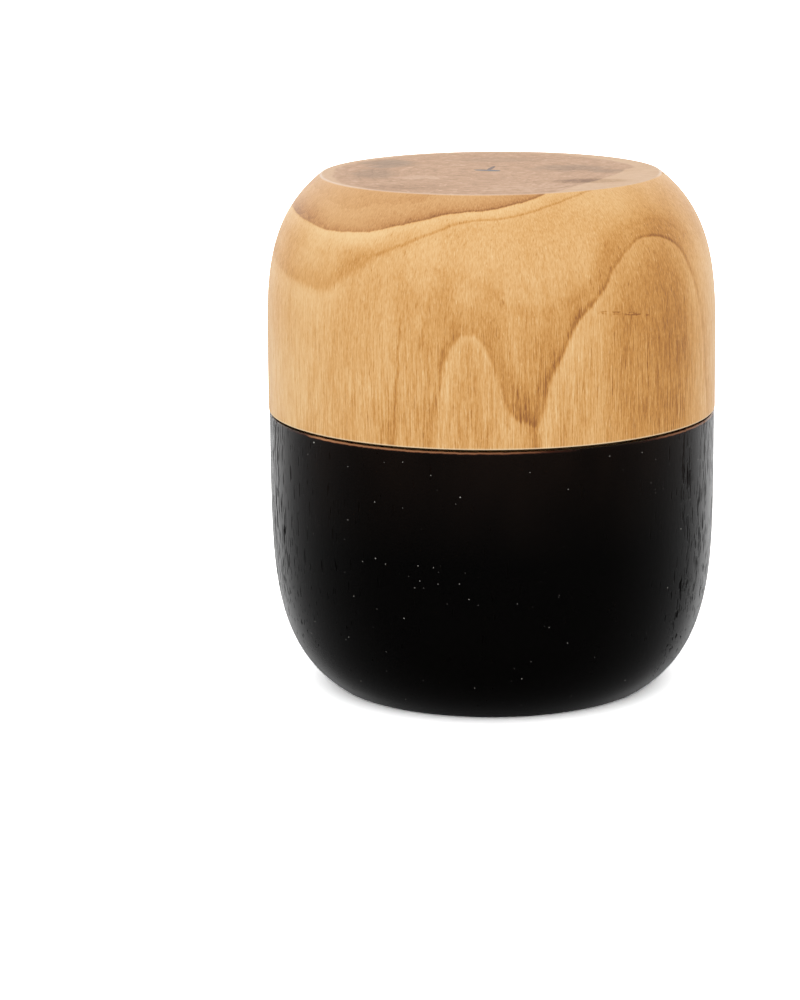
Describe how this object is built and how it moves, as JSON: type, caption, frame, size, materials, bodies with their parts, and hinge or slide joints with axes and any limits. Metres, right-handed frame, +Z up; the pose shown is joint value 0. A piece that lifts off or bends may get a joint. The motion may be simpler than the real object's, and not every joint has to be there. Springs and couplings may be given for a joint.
{
  "type": "double bowl",
  "caption": "Deep turned wooden bowl with a matching bowl turned over on it as a lid, natural wood above and blackened wood below, closing rim to rim on a centring lip.",
  "frame": {"origin": "middle of the lower bowl's base, on the surface that it stands on", "axes": "+Z up along the turning axis, -Y towards the side seen in the picture"},
  "size_m": [0.2, 0.2, 0.2298],
  "materials": {
    "blackened_wood": "thin black stain, satin, open pores",
    "natural_wood": "clear satin",
    "pith_filling": "sanded flush, satin"
  },
  "bodies": {
    "lower": {"lower_bowl": "blackened_wood"},
    "upper": {"upper_bowl": "natural_wood", "pith_filling": "pith_filling"}
  },
  "joints": [
    {"name": "upper_bowl_lift", "type": "slide", "parent": "lower", "child": "upper", "axis": [0, 0, 1], "range_m": [0, 0.12]}
  ]
}
